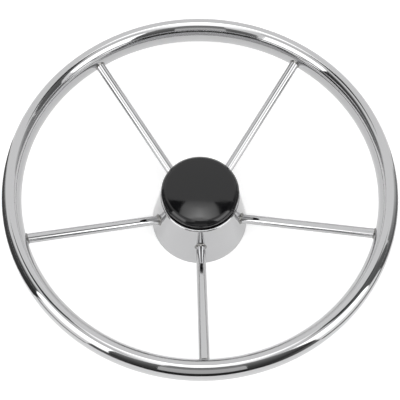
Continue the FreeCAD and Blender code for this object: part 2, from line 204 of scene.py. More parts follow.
def rounded_outline(corners, steps=10, support=0.3 * MM):
    """A closed outline through corners given as (across, up, round).

    Beside each round it has one more point on the straight, so that smooth shading stays in the round.
    """
    points = []
    for number, (across, up, radius) in enumerate(corners):
        here = Vector((across, up))
        back = Vector(corners[number - 1][:2]) - here
        ahead = Vector(corners[(number + 1) % len(corners)][:2]) - here
        if radius == 0:
            points.append(tuple(here))
            continue
        spare = (back.length, ahead.length)
        back.normalize()
        ahead.normalize()
        half = back.angle(ahead) / 2
        reach = radius / math.tan(half)
        centre = here + (back + ahead).normalized() * radius / math.sin(half)
        first, last = here + back * reach - centre, here + ahead * reach - centre
        sweep = math.atan2(first.x * last.y - first.y * last.x, first.dot(last))
        if spare[0] > reach + 3 * support:
            points.append(tuple(here + back * (reach + support)))
        points += arc(centre, radius, math.atan2(first.y, first.x), sweep, steps)
        if spare[1] > reach + 3 * support:
            points.append(tuple(here + ahead * (reach + support)))
    return points


def turned(outline, steps, on_axis=0.1 * MM):
    """Vertices and faces of a closed outline of (radius, height) points turned once about Z.

    Points nearer the axis than on_axis are made once, and the faces beside them are triangles.
    """
    vertices, rings = [], []
    for radius, height in outline:
        if radius < on_axis:
            vertices.append((0, 0, height))
            rings.append([len(vertices) - 1] * steps)
            continue
        rings.append(list(range(len(vertices), len(vertices) + steps)))
        for i in range(steps):
            turn = 2 * math.pi * i / steps
            vertices.append((radius * math.cos(turn), radius * math.sin(turn), height))
    faces = []
    for ring, above in zip(rings, rings[1:] + rings[:1]):
        for i in range(steps):
            j = (i + 1) % steps
            corners = list(dict.fromkeys((ring[i], ring[j], above[j], above[i])))
            if len(corners) > 2:
                faces.append(corners)
    return vertices, faces


def new_mesh(name, vertices, faces, sharp=math.radians(30)):
    """A mesh with its faces turned outwards, smooth except over edges sharper than that."""
    mesh = bpy.data.meshes.new(name)
    mesh.from_pydata(vertices, [], faces)
    shell = bmesh.new()
    shell.from_mesh(mesh)
    bmesh.ops.recalc_face_normals(shell, faces=shell.faces)
    shell.to_mesh(mesh)
    shell.free()
    mesh.shade_smooth()
    mesh.set_sharp_from_angle(angle=sharp)
    return mesh


def place_piece(name, mesh, materials, nodes, body="wheel", place=None):
    """Shows a mesh in place of the CAD nodes named, and lets it ride on their body."""
    piece = bpy.data.objects.new(name, mesh)
    bpy.context.scene.collection.objects.link(piece)
    # A mesh that several pieces share gets its materials only once
    if not mesh.materials:
        for material in materials:
            mesh.materials.append(material)
    if place is not None:
        piece.matrix_world = place
    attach(piece, body)
    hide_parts(*nodes)
    return piece


def spoke_place(settings, number):
    """Where a spoke's own axes lie: Z outwards along the rod, from the middle of the rim tube."""
    rim, slope = settings.rim, settings.spoke.slope
    along = Vector((0, -math.cos(slope), math.sin(slope)))
    aside = Vector((1, 0, 0))
    over = along.cross(aside)
    middle = Vector((0, -(rim.outer_radius - rim.width / 2), rim.low + rim.depth / 2))
    own = Matrix((aside, over, along)).transposed().to_4x4()
    return Matrix.Rotation(2 * math.pi * number / SPOKES, 4, "Z") @ Matrix.Translation(middle) @ own


def gap_to_rim(settings, point):
    """How far a point lies outside the inner side of the rim's oval."""
    rim = settings.rim
    side, offset = oval_side(rim)
    across = math.hypot(point.x, point.y) - (rim.outer_radius - rim.width / 2)
    return math.hypot(across - offset, point.z - rim.low - rim.depth / 2) - side


def gap_to_cup(settings, point):
    """How far a point lies outside the hub cup's wall."""
    hub = settings.hub
    return math.hypot(point.x, point.y) + point.z * math.tan(hub.draft) - hub.rear_radius


def gap_to_boss(settings, point):
    """How far a point lies outside the boss."""
    return math.hypot(point.x, point.y) - settings.hub.boss_radius


def meet(settings, gap, across, over, inside, outside, halvings=30):
    """Where a line along a spoke, set off from its axis, goes through a surface.

    inside and outside are two distances along the spoke, on either side of the surface.
    """
    place = spoke_place(settings, 0)
    for _ in range(halvings):
        middle = (inside + outside) / 2
        if gap(settings, place @ Vector((across, over, middle))) > 0:
            outside = middle
        else:
            inside = middle
    return (inside + outside) / 2


def oval_side(rim):
    """Radius of the oval's slow side arcs, and how far past the middle each is centred.

    A side arc goes through the tube's widest point, and runs smoothly into the arcs at its ends.
    """
    half, end = rim.width / 2, rim.depth / 2 - rim.end_round
    side = (half**2 + end**2 - rim.end_round**2) / (2 * (half - rim.end_round))
    return side, side - half


# ---------------------------------------------------------------- finishes


def add_node(tree, kind, settings=(), inputs=()):
    """Adds one node. Inputs are given by name or number, as plain values or as sockets to link."""
    node = tree.nodes.new(kind)
    for name, value in dict(settings).items():
        setattr(node, name, value)
    for name, value in dict(inputs).items():
        if isinstance(value, bpy.types.NodeSocket):
            tree.links.new(value, node.inputs[name])
        else:
            node.inputs[name].default_value = value
    return node


def start_finish(name, base, metallic):
    """A new material with only its shader, whose colour and metallic are set, and its coordinates."""
    material = bpy.data.materials.new(name)
    material.use_nodes = True
    tree = material.node_tree
    tree.nodes.clear()
    shader = add_node(
        tree, "ShaderNodeBsdfPrincipled", inputs={"Base Color": (*base, 1), "Metallic": metallic}
    )
    add_node(tree, "ShaderNodeOutputMaterial", inputs={"Surface": shader.outputs["BSDF"]})
    place = add_node(tree, "ShaderNodeTexCoord").outputs["Object"]
    return material, tree, shader, place


def patches(tree, place, size, detail=3, stretch=(1, 1, 1)):
    """Soft patches about size metres across, longer along an axis whose stretch is over 1."""
    scaled = add_node(
        tree, "ShaderNodeVectorMath", {"operation": "MULTIPLY"},
        {0: place, 1: tuple(1 / (size * s) for s in stretch)},
    )
    noise = add_node(
        tree, "ShaderNodeTexNoise", inputs={"Vector": scaled.outputs[0], "Scale": 1, "Detail": detail}
    )
    return noise.outputs["Fac"]


def ring_lines(tree, place, spacing, run, radius):
    """Fine lines round Z: spacing metres apart, and about run metres long at the given radius."""
    flat = add_node(tree, "ShaderNodeVectorMath", {"operation": "MULTIPLY"}, {0: place, 1: (1, 1, 0)})
    facing = add_node(tree, "ShaderNodeVectorMath", {"operation": "NORMALIZE"}, {0: flat.outputs[0]})
    around = add_node(
        tree, "ShaderNodeVectorMath", {"operation": "SCALE"},
        {0: facing.outputs[0], "Scale": radius / run},
    )
    upright = add_node(
        tree, "ShaderNodeVectorMath", {"operation": "MULTIPLY"}, {0: place, 1: (0, 0, 1 / spacing)}
    )
    both = add_node(
        tree, "ShaderNodeVectorMath", {"operation": "ADD"},
        {0: around.outputs[0], 1: upright.outputs[0]},
    )
    out = add_node(tree, "ShaderNodeVectorMath", {"operation": "LENGTH"}, {0: flat.outputs[0]})
    outward = add_node(
        tree, "ShaderNodeMath", {"operation": "DIVIDE"}, {0: out.outputs["Value"], 1: spacing}
    )
    noise = add_node(
        tree, "ShaderNodeTexNoise", {"noise_dimensions": "4D"},
        {"Vector": both.outputs[0], "W": outward.outputs[0], "Scale": 1, "Detail": 2},
    )
    return noise.outputs["Fac"]


def roughen(tree, shader, *layers):
    """Sets the roughness to the sum of layers, each (pattern, (start, end), (smooth, rough)).

    Where the pattern goes from start to end, the layer goes from smooth to rough.
    """
    total = None
    for pattern, (start, end), (smooth, rough) in layers:
        span = {"Value": pattern, "From Min": start, "From Max": end, "To Min": smooth, "To Max": rough}
        level = add_node(tree, "ShaderNodeMapRange", inputs=span).outputs[0]
        if total is not None:
            both = {0: total, 1: level}
            level = add_node(tree, "ShaderNodeMath", {"operation": "ADD"}, both).outputs[0]
        total = level
    tree.links.new(total, shader.inputs["Roughness"])


def emboss(tree, shader, *layers):
    """Lays bumps on top of each other, in layers of (pattern, its depth in metres)."""
    normal = None
    for pattern, depth in layers:
        inputs = {"Height": pattern, "Distance": depth, "Strength": 1}
        if normal is not None:
            inputs["Normal"] = normal
        normal = add_node(tree, "ShaderNodeBump", inputs=inputs).outputs[0]
    tree.links.new(normal, shader.inputs["Normal"])


def mirror_tube(finish):
    """Austenitic stainless tube, bent to a ring and buffed along it.

    A clear mirror. Faint lines follow the ring, and soft patches show where hands have held it.
    """
    material, tree, shader, place = start_finish(
        "stainless_tube_mirror_buffed", finish.polished_steel, METAL
    )
    # Buffing leaves lines 0.05 mm apart, which don't show: these are drawn 0.7 mm apart
    lines = ring_lines(tree, place, spacing=0.7 * MM, run=45 * MM, radius=187 * MM)
    hands = patches(tree, place, 30 * MM)
    roughen(tree, shader, (hands, (0.35, 0.7), (0.035, 0.085)), (lines, (0.3, 0.7), (-0.012, 0.012)))
    emboss(tree, shader, (lines, 0.0012 * MM))
    return material


def mirror_rod(finish):
    """Stainless rod, drawn and then buffed lengthwise: a mirror with faint lines along the rod."""
    material, tree, shader, place = start_finish(
        "stainless_rod_drawn_buffed", finish.polished_steel, METAL
    )
    # The die leaves lines 0.05 mm apart, and here they are 0.5 mm apart so that they show
    lines = patches(tree, place, 0.5 * MM, detail=2, stretch=(1, 1, 120))
    hands = patches(tree, place, 14 * MM)
    roughen(tree, shader, (hands, (0.35, 0.7), (0.05, 0.11)))
    emboss(tree, shader, (lines, 0.0012 * MM))
    return material


def buffed_pressing(finish):
    """Stainless sheet, pressed to a cone and buffed as it turns.

    A slightly softer mirror than the tube, with rings left by the buffing wheel.
    """
    material, tree, shader, place = start_finish(
        "stainless_sheet_pressed_buffed", finish.polished_steel, METAL
    )
    # The buffing wheel's rings lie 0.1 mm apart, and are drawn 0.6 mm apart so that they show
    rings = ring_lines(tree, place, spacing=0.6 * MM, run=30 * MM, radius=46 * MM)
    clouds = patches(tree, place, 16 * MM, detail=2)
    roughen(tree, shader, (clouds, (0.35, 0.7), (0.05, 0.1)))
    emboss(tree, shader, (rings, 0.0015 * MM))
    return material


def dull_pressing(finish):
    """The pressing's inside, left as rolled and pickled: grey and cloudy, with a fine matt grain."""
    material, tree, shader, place = start_finish("stainless_sheet_pickled", finish.dull_steel, METAL)
    clouds = patches(tree, place, 9 * MM, detail=4)
    # Pickled grain is 0.03 mm across, and is drawn ten times as coarse
    grain = patches(tree, place, 0.3 * MM, detail=2)
    roughen(tree, shader, (clouds, (0.3, 0.7), (0.26, 0.42)))
    emboss(tree, shader, (grain, 0.006 * MM))
    return material


def dressed_weld(finish):
    """Stainless weld metal, brushed and lightly buffed: greyer and softer than the rod beside it."""
    material, tree, shader, place = start_finish("stainless_weld_dressed", finish.weld_steel, METAL)
    # The brush leaves marks 0.1 mm apart, drawn 0.5 mm apart so that they show
    marks = patches(tree, place, 0.5 * MM)
    roughen(tree, shader, (marks, (0.3, 0.7), (0.16, 0.3)))
    emboss(tree, shader, (marks, 0.02 * MM))
    return material


def turned_bar(finish):
    """Stainless bar, turned on a lathe: satin, with fine tool rings that catch the light."""
    material, tree, shader, place = start_finish("stainless_bar_turned", finish.turned_steel, METAL)
    # A finishing cut leaves rings 0.1 mm apart, drawn 0.35 mm apart so that they show
    rings = ring_lines(tree, place, spacing=0.35 * MM, run=200 * MM, radius=20 * MM)
    roughen(tree, shader, (rings, (0.3, 0.7), (0.2, 0.36)))
    emboss(tree, shader, (rings, 0.012 * MM))
    return material


def gloss_abs(finish):
    """Black ABS from a polished mould.

    A deep gloss with a slight orange peel, a few hairline rubs and soft patches left by hands.
    """
    material, tree, shader, place = start_finish(
        "abs_moulded_gloss_black", finish.black_plastic, NOT_METAL
    )
    peel = patches(tree, place, 3 * MM, detail=1)
    # A rub is about 0.03 mm wide, and is drawn 0.35 mm wide so that it shows
    rubs = patches(tree, place, 0.35 * MM, detail=1, stretch=(1, 30, 30))
    hands = patches(tree, place, 12 * MM, detail=4)
    roughen(tree, shader, (hands, (0.35, 0.75), (0.05, 0.13)))
    emboss(tree, shader, (peel, 0.003 * MM), (rubs, 0.0006 * MM))
    return material


# ---------------------------------------------------------------- pieces


def settings_of(context):
    """The wheel's sizes and colours."""
    return context.scene.helm_wheel


class HELM_OT_bend_rim(bpy.types.Operator):
    """Make the oval tube of the rim"""

    bl_idname = "helm.bend_rim"
    bl_label = "Rim"

    def execute(self, context):
        settings = settings_of(context)
        rim = settings.rim
        middle = (rim.outer_radius - rim.width / 2, rim.low + rim.depth / 2)
        end = rim.depth / 2 - rim.end_round
        side, offset = oval_side(rim)
        join = math.atan2(end, offset)
        outline = []
        # The oval's four arcs: outside, front, inside and back
        for number, (across, up, radius, half, steps) in enumerate((
            (-offset, 0, side, join, 18),
            (0, end, rim.end_round, math.pi / 2 - join, 16),
            (offset, 0, side, join, 18),
            (0, -end, rim.end_round, math.pi / 2 - join, 16),
        )):
            centre = (middle[0] + across, middle[1] + up)
            outline += arc(centre, radius, number * math.pi / 2 - half, 2 * half, steps)[:-1]
        vertices, faces = turned(outline, steps=720)
        mesh = new_mesh("rim", vertices, faces)
        place_piece("rim", mesh, [mirror_tube(settings.finish)], ["rim_tube"])
        return {"FINISHED"}


class HELM_OT_cut_rods(bpy.types.Operator):
    """Make the five rods, their outer ends shaped to the rim"""

    bl_idname = "helm.cut_rods"
    bl_label = "Spokes"

    def execute(self, context):
        settings = settings_of(context)
        around = 64
        # The outer end goes into the rim's wall, and the inner end into its socket in the boss
        seated, socket = 0.5 * MM, 6 * MM
        butt = -(settings.rim.outer_radius - settings.rim.width / 2 - settings.hub.boss_radius)
        butt = butt / math.cos(settings.spoke.slope) - socket
        ring = arc((0, 0), settings.spoke.radius, 0, 2 * math.pi, around)[:-1]
        ends = [
            meet(settings, gap_to_rim, x, y, inside=0, outside=-30 * MM) + seated for x, y in ring
        ]
        levels = [0, 0.25, 0.5, 0.75, 1]
        vertices = [
            (x, y, butt + (end - butt) * level) for level in levels for (x, y), end in zip(ring, ends)
        ]
        faces = [
            (row * around + i, row * around + (i + 1) % around,
             (row + 1) * around + (i + 1) % around, (row + 1) * around + i)
            for row in range(len(levels) - 1) for i in range(around)
        ]
        vertices += [(0, 0, butt), (0, 0, sum(ends) / around)]
        last = (len(levels) - 1) * around
        for i in range(around):
            j = (i + 1) % around
            faces += [(i, j, len(vertices) - 2), (last + i, last + j, len(vertices) - 1)]
        mesh = new_mesh("spoke_rod", vertices, faces)
        material = mirror_rod(settings.finish)
        for number in range(SPOKES):
            place_piece(
                f"rod_{number + 1}", mesh, [material], [f"spoke_{number + 1}"],
                place=spoke_place(settings, number),
            )
        return {"FINISHED"}


class HELM_OT_lay_welds(bpy.types.Operator):
    """Make the weld beads at both ends of each rod and at the hub cup"""

    bl_idname = "helm.lay_welds"
    bl_label = "Welds"

    def execute(self, context):
        settings = settings_of(context)
        spoke = settings.spoke
        # About where the rod would meet the shaft's axis
        axis = -settings.rim.outer_radius / math.cos(spoke.slope)
        material = dressed_weld(settings.finish)
        # For each kind, two places along the rod that lie inside and outside what it is welded to
        for kind, gap, leg, inside, outside in (
            ("rim", gap_to_rim, spoke.rim_leg, 0, -30 * MM),
            ("cup", gap_to_cup, spoke.cup_leg, axis * 0.9, -100 * MM),
            ("boss", gap_to_boss, spoke.boss_leg, axis, -100 * MM),
        ):
            mesh = bead_mesh(settings, kind, gap, leg, inside, outside)
            for number in range(SPOKES):
                name = f"{kind}_bead_{number + 1}"
                nodes = [f"{kind}_weld_{number + 1}"]
                place = spoke_place(settings, number)
                place_piece(name, mesh, [material], nodes, place=place)
        return {"FINISHED"}


def bead_mesh(settings, kind, gap, leg, inside, outside):
    """A fillet of weld metal round a rod, seated on the surface that gap measures, with ripples."""
    spoke = settings.spoke
    around, across, sunk = 168, 10, 0.25 * MM
    # The bead's other leg as a share of the one along the rod, and how hollow its face is
    spread, hollow = 0.75, 1.6
    ripple_height, ripple_lean = 0.045 * MM, 2.2
    ripples = round(2 * math.pi * (spoke.radius + leg / 2) / spoke.ripple)
    out = 1 if outside > inside else -1
    vertices = []
    for row in range(across + 1):
        share = row / across
        radius = spoke.radius - sunk + (leg * spread + sunk) * share
        climb = (leg + sunk) * (1 - share) ** hollow - sunk * share
        swell = ripple_height * math.sin(math.pi * share)
        for i in range(around):
            turn = 2 * math.pi * i / around
            x, y = radius * math.cos(turn), radius * math.sin(turn)
            lift = climb + swell * math.cos(ripples * turn + ripple_lean * share)
            vertices.append((x, y, meet(settings, gap, x, y, inside, outside) + out * lift))
    # The skin closes under the bead, inside the rod and the piece that carries it
    for i in range(around):
        turn = 2 * math.pi * i / around
        radius = spoke.radius - 2 * sunk
        x, y = radius * math.cos(turn), radius * math.sin(turn)
        vertices.append((x, y, meet(settings, gap, x, y, inside, outside) - out * 2 * sunk))
    faces = []
    for row in range(across + 2):
        below = (row + 1) % (across + 2)
        for i in range(around):
            j = (i + 1) % around
            faces.append((row * around + i, row * around + j, below * around + j, below * around + i))
    return new_mesh(f"{kind}_bead", vertices, faces, sharp=math.radians(60))


class HELM_OT_press_cup(bpy.types.Operator):
    """Make the pressed hub cup"""

    bl_idname = "helm.press_cup"
    bl_label = "Hub cup"

    def execute(self, context):
        settings = settings_of(context)
        hub = settings.hub
        lean = math.tan(hub.draft)
        wall = hub.sheet / math.cos(hub.draft)
        corner = hub.rear_radius - hub.height * lean
        opening = corner - hub.lip
        under = hub.height - hub.sheet
        burr = 0.25 * MM
        outline = rounded_outline([
            (hub.rear_radius - wall, 0, burr),
            (hub.rear_radius, 0, burr),
            (corner, hub.height, hub.shoulder),
            (opening, hub.height, burr),
            (opening, under, burr),
            (corner + hub.sheet * lean - wall, under, hub.shoulder - hub.sheet),
        ])
        vertices, faces = turned(outline, steps=384)
        mesh = new_mesh("hub_pressing", vertices, faces)
        # Faces that look outwards or forwards are buffed, and the rest are left dull
        for face in mesh.polygons:
            outwards = Vector((face.center.x, face.center.y, 0)).normalized() + Vector((0, 0, 1))
            face.material_index = 0 if face.normal.dot(outwards) > 0 else 1
        materials = [buffed_pressing(settings.finish), dull_pressing(settings.finish)]
        place_piece("hub_pressing", mesh, materials, ["hub_cup"])
        return {"FINISHED"}


class HELM_OT_turn_boss(bpy.types.Operator):
    """Make the boss with its tapered bore and keyway"""

    bl_idname = "helm.turn_boss"
    bl_label = "Hub boss"

    def execute(self, context):
        settings = settings_of(context)
        hub = settings.hub
        deep = hub.boss_front - hub.boss_rear
        bore_front = hub.bore_radius - deep / (2 * hub.bore_taper)
        edge = 0.15 * MM
        outline = rounded_outline([
            (hub.bore_radius, hub.boss_rear, edge),
            (hub.boss_radius - hub.boss_chamfer, hub.boss_rear, edge),
            (hub.boss_radius, hub.boss_rear + hub.boss_chamfer, edge),
            (hub.boss_radius, hub.boss_front - hub.boss_chamfer, edge),
            (hub.boss_radius - hub.boss_chamfer, hub.boss_front, edge),
            (bore_front, hub.boss_front, edge),
        ], steps=3, support=0.1 * MM)
        vertices, faces = turned(outline, steps=256)
        mesh = new_mesh("boss", vertices, faces)
        material = turned_bar(settings.finish)
        piece = place_piece("boss", mesh, [material], ["hub_boss"])
        self.cut_keyway(context, hub, piece, bore_front)
        return {"FINISHED"}

    def cut_keyway(self, context, hub, piece, bore_front):
        """Cuts the slot for the key, whose floor is parallel to the bore's side."""
        half, spare = hub.keyway_width / 2, 1 * MM
        low, high = hub.boss_rear - spare, hub.boss_front + spare
        lean = 1 / (2 * hub.bore_taper)
        floor_low = hub.bore_radius + hub.keyway_depth + spare * lean
        floor_high = bore_front + hub.keyway_depth - spare * lean
        start = hub.bore_radius / 2
        corners = [
            (x, y, z)
            for z, floor in ((low, floor_low), (high, floor_high))
            for x, y in ((-half, start), (half, start), (half, floor), (-half, floor))
        ]
        sides = [(0, 1, 2, 3), (4, 5, 6, 7), (0, 1, 5, 4), (1, 2, 6, 5), (2, 3, 7, 6), (3, 0, 4, 7)]
        cutter = bpy.data.objects.new("keyway", new_mesh("keyway", corners, sides))
        context.scene.collection.objects.link(cutter)
        cut = piece.modifiers.new("keyway", "BOOLEAN")
        cut.operation, cut.solver, cut.object = "DIFFERENCE", "EXACT", cutter
        context.view_layer.update()
        shaped = piece.evaluated_get(context.evaluated_depsgraph_get())
        piece.data = bpy.data.meshes.new_from_object(shaped)
        piece.modifiers.clear()
        piece.data.set_sharp_from_angle(angle=math.radians(25))
        bpy.data.objects.remove(cutter)


class HELM_OT_mould_cap(bpy.types.Operator):
    """Make the black centre cap with its split spigot"""

    bl_idname = "helm.mould_cap"
    bl_label = "Centre cap"

    def execute(self, context):
        settings = settings_of(context)
        cap = settings.cap
        right, support, burr, steps = math.pi / 2, 0.4 * MM, 0.3 * MM, 24
        # The dome's middle, its slope at the crease, and the crease
        centre = cap.top - cap.dome
        tilt = math.asin(cap.crease / cap.dome)
        crease = (cap.crease, centre + cap.dome * math.cos(tilt))
        # The side is an arc about middle, from the crease to the roll about (lip, roll_height)
        lip = cap.radius - cap.edge_round
        reach = lip + cap.edge_round * math.sin(cap.side_end) - cap.crease
        side = reach / (math.sin(cap.side_end) - math.sin(cap.side_start))
        middle = (
            crease[0] - side * math.sin(cap.side_start), crease[1] - side * math.cos(cap.side_start)
        )
        roll_height = middle[1] + (side - cap.edge_round) * math.cos(cap.side_end)
        neck = cap.radius - cap.neck_inset
        inside = neck - cap.wall
        under = math.acos((neck - lip) / cap.edge_round)
        # Down the inside, up the neck, round the roll, up the side, over the dome and back below it
        ceiling = cap.dome - cap.wall
        outline = [(inside, centre + math.sqrt(ceiling**2 - inside**2)), (inside, cap.neck_low)]
        outline += arc((neck - burr, cap.neck_low + burr), burr, -right, right, steps=4)
        outline += [(neck, cap.neck_low + 3 * burr)]
        outline += arc((lip, roll_height), cap.edge_round, -under, under + right - cap.side_end, steps)
        sweep = cap.side_end - cap.side_start - support / side
        outline += arc(middle, side, right - cap.side_end, sweep, steps)[1:]
        outline += [crease]
        spare = support / cap.dome
        outline += arc((0, centre), cap.dome, right - tilt + spare, tilt - spare, steps)
        outline += arc((0, centre), ceiling, right, math.acos(inside / ceiling) - right, steps=12)[:-1]
        vertices, faces = turned(outline, steps=256)
        mid_wall = cap.dome - cap.wall / 2
        self.add_spigot(cap, vertices, faces, centre + math.sqrt(mid_wall**2 - cap.spigot_radius**2))
        mesh = new_mesh("cap", vertices, faces)
        material = gloss_abs(settings.finish)
        place_piece("cap_moulding", mesh, [material], ["centre_cap"], body="cap")
        return {"FINISHED"}

    def add_spigot(self, cap, vertices, faces, top):
        """Adds a ring that ends inside the dome's wall, and fingers below it with bevelled tips."""
        outside, inside = cap.spigot_radius, cap.spigot_radius - cap.spigot_wall
        root = cap.spigot_low + cap.slot_length
        bevel, steps = 0.5 * MM, 40
        ring = [(inside, root), (outside, root), (outside, top), (inside, top)]
        more, ring_faces = turned(ring, steps=252)
        faces += [[corner + len(vertices) for corner in face] for face in ring_faces]
        vertices += more
        gap = cap.slot_width / (2 * cap.spigot_radius)
        outline = [
            (inside, root), (inside, cap.spigot_low), (outside - bevel, cap.spigot_low),
            (outside, cap.spigot_low + 2 * bevel), (outside, root),
        ]
        for finger in range(cap.fingers):
            first = 2 * math.pi * finger / cap.fingers + gap
            last = 2 * math.pi * (finger + 1) / cap.fingers - gap
            start, count = len(vertices), len(outline)
            for i in range(steps + 1):
                turn = first + (last - first) * i / steps
                vertices += [(r * math.cos(turn), r * math.sin(turn), z) for r, z in outline]
            for i in range(steps):
                for k in range(count):
                    a, b = start + i * count + k, start + i * count + (k + 1) % count
                    faces.append((a, b, b + count, a + count))
            faces.append(tuple(range(start, start + count)))
            faces.append(tuple(range(start + steps * count, start + (steps + 1) * count)))


# ---------------------------------------------------------------- studio


def direction(azimuth, elevation):
    """A direction from the wheel's middle, in degrees.

    Azimuth is 0 towards the far side, and grows clockwise as seen from above.
    """
    az, el = math.radians(azimuth), math.radians(elevation)
    return Vector((math.sin(az) * math.cos(el), math.cos(az) * math.cos(el), math.sin(el)))


LAMP_DISTANCE = 2.4
# The lamps, each with its azimuth and elevation in degrees, and its width and height in metres
LAMPS = (
    ("lamp_over", 180, 80, 1.75, 1.75),
    ("lamp_left", -127, 33, 1.5, 2.9),
    ("lamp_right", 124, 33, 1.5, 2.9),
)

# What stands and lies round the wheel and shows in its steel: the lamps' softboxes, black flags, grey
# scrims, boards on the near side, and dark patches on the floor round the wheel. Each has four
# corners, given as azimuth and elevation in degrees, distance in metres, and level, where 1 is white.
CARDS = (
    ("softbox_tip", (-30, 71.6, 2.4, 1.4), (30, 71.6, 2.4, 1.4),
     (45, 73.2, 2.4, 2.1), (-45, 73.2, 2.4, 2.1)),
    ("softbox_top_left", (-45, 73.2, 2.4, 1.8), (0, 78, 2.35, 2.8),
     (0, 85, 2.3, 5), (-80, 75.2, 2.4, 1.2)),
    ("softbox_top_right", (0, 78, 2.35, 2.8), (45, 73.2, 2.4, 1.8),
     (80, 75.2, 2.4, 1.2), (0, 85, 2.3, 5)),
    ("softbox_rear_left", (-80, 75.2, 2.4, 1.1), (0, 85, 2.3, 2.4),
     (180, 47.2, 2.31, 1.9), (-162, 46, 2.4, 1.5)),
    ("softbox_rear_right", (0, 85, 2.3, 2.4), (80, 75.2, 2.4, 1.1),
     (162, 46, 2.4, 1.5), (180, 47.2, 2.31, 1.9)),
    ("softbox_left", (-116, -8.6, 0.58, 1.9), (-150, -8.6, 0.58, 1.9),
     (-147, 35, 0.95, 3.2), (-111, 35, 0.95, 3.2)),
    ("softbox_left_top", (-111, 35, 0.95, 1.3), (-147, 35, 0.95, 1.3),
     (-145, 62, 2.6, 0.35), (-107, 60, 2.6, 0.35)),
    ("softbox_right", (145, -8.6, 0.58, 1.9), (110, -8.6, 0.58, 1.9),
     (105, 35, 0.95, 3.2), (149, 35, 0.95, 3.2)),
    ("softbox_right_top", (149, 35, 0.95, 1.3), (105, 35, 0.95, 1.3),
     (104, 58, 2.6, 0.35), (141, 62, 2.6, 0.35)),
    ("flag_over_left", (-29, 71.7, 2.5, 0.05), (-56, 56.5, 2.5, 0.05),
     (-95, 59, 2.5, 0.05), (-73, 80.5, 2.5, 0.05)),
    ("flag_over_right", (29, 71.7, 2.5, 0.05), (56, 56.5, 2.5, 0.05),
     (95, 59, 2.5, 0.05), (73, 80.5, 2.5, 0.05)),
    ("flag_left", (-72, -1, 2.5, 0.1), (-119, -1, 2.5, 0.02),
     (-115, 24, 2.5, 0.06), (-84, 20, 2.5, 0.2)),
    ("scrim_left_top", (-84, 20, 2.5, 0.2), (-115, 24, 2.5, 0.06),
     (-112, 47, 2.5, 0.8), (-92, 44, 2.5, 1)),
    ("scrim_left", (-58, -1, 2.5, 0.9), (-72, -1, 2.5, 0.1),
     (-84, 20, 2.5, 0.2), (-70, 30, 2.5, 1)),
    ("flag_right", (105, -1, 2.5, 0.12), (90, -1, 2.5, 0.16),
     (64, 64, 2.5, 0.2), (103, 62, 2.5, 0.15)),
    ("scrim_right", (90, -1, 2.5, 0.16), (62, -1, 2.5, 0.5),
     (60, 35, 2.5, 1), (78, 40, 2.5, 0.3)),
    ("board_left", (-150.5, -8, 0.375, 0.04), (-168, -8, 0.323, 0.04),
     (-168, 35, 0.38, 0.3), (-150.5, 24, 0.4, 0.3)),
    ("board_low", (-168, -3.6, 0.322, 0.6), (163.6, -3.6, 0.328, 0.6),
     (163.6, 17.8, 0.344, 0.66), (-168, 18.1, 0.338, 0.66)),
    ("board_high", (-168, 18.1, 0.338, 0.34), (163.6, 17.8, 0.344, 0.34),
     (163.6, 53.5, 0.55, 0.2), (-168, 54, 0.546, 0.2)),
    ("board_right", (163.6, -8, 0.33, 0.04), (137, -7, 0.42, 0.03),
     (152, 50, 0.58, 0.4), (163.6, 50, 0.51, 0.4)),
    # Dark patches and lines lying on the floor round the wheel, which only the steel and the cap see
    ("table_near", (-160, -13.3, 0.377, 0.03), (160, -13.3, 0.377, 0.03),
     (160, -4.5, 1.1, 0.03), (-160, -4.5, 1.1, 0.03)),
    ("table_near_left", (-142, -13.9, 0.361, 0.2), (-160, -13.3, 0.377, 0.03),
     (-160, -4.5, 1.1, 0.03), (-142, -5.5, 0.9, 0.2)),
    ("table_near_right", (160, -13.3, 0.377, 0.03), (136, -13.9, 0.361, 0.2),
     (136, -5.5, 0.9, 0.2), (160, -4.5, 1.1, 0.03)),
    ("table_edge_left", (-119, -15.1, 0.332, 0.04), (-142, -14.9, 0.336, 0.25),
     (-142, -13.7, 0.365, 0.25), (-119, -13.7, 0.365, 0.04)),
    ("table_edge_right", (104, -15.4, 0.326, 0.02), (136, -15.1, 0.332, 0.02),
     (136, -13.6, 0.368, 0.02), (104, -13.6, 0.368, 0.02)),
    ("table_left", (-66, -16.8, 0.301, 0.12), (-119, -16.8, 0.301, 0.04),
     (-119, -2, 2.4, 0.03), (-66, -2, 2.4, 0.15)),
    ("table_right", (66, -16, 0.314, 0.3), (104, -16, 0.314, 0.1),
     (104, -2, 2.4, 0.1), (66, -2, 2.4, 0.4)),
)


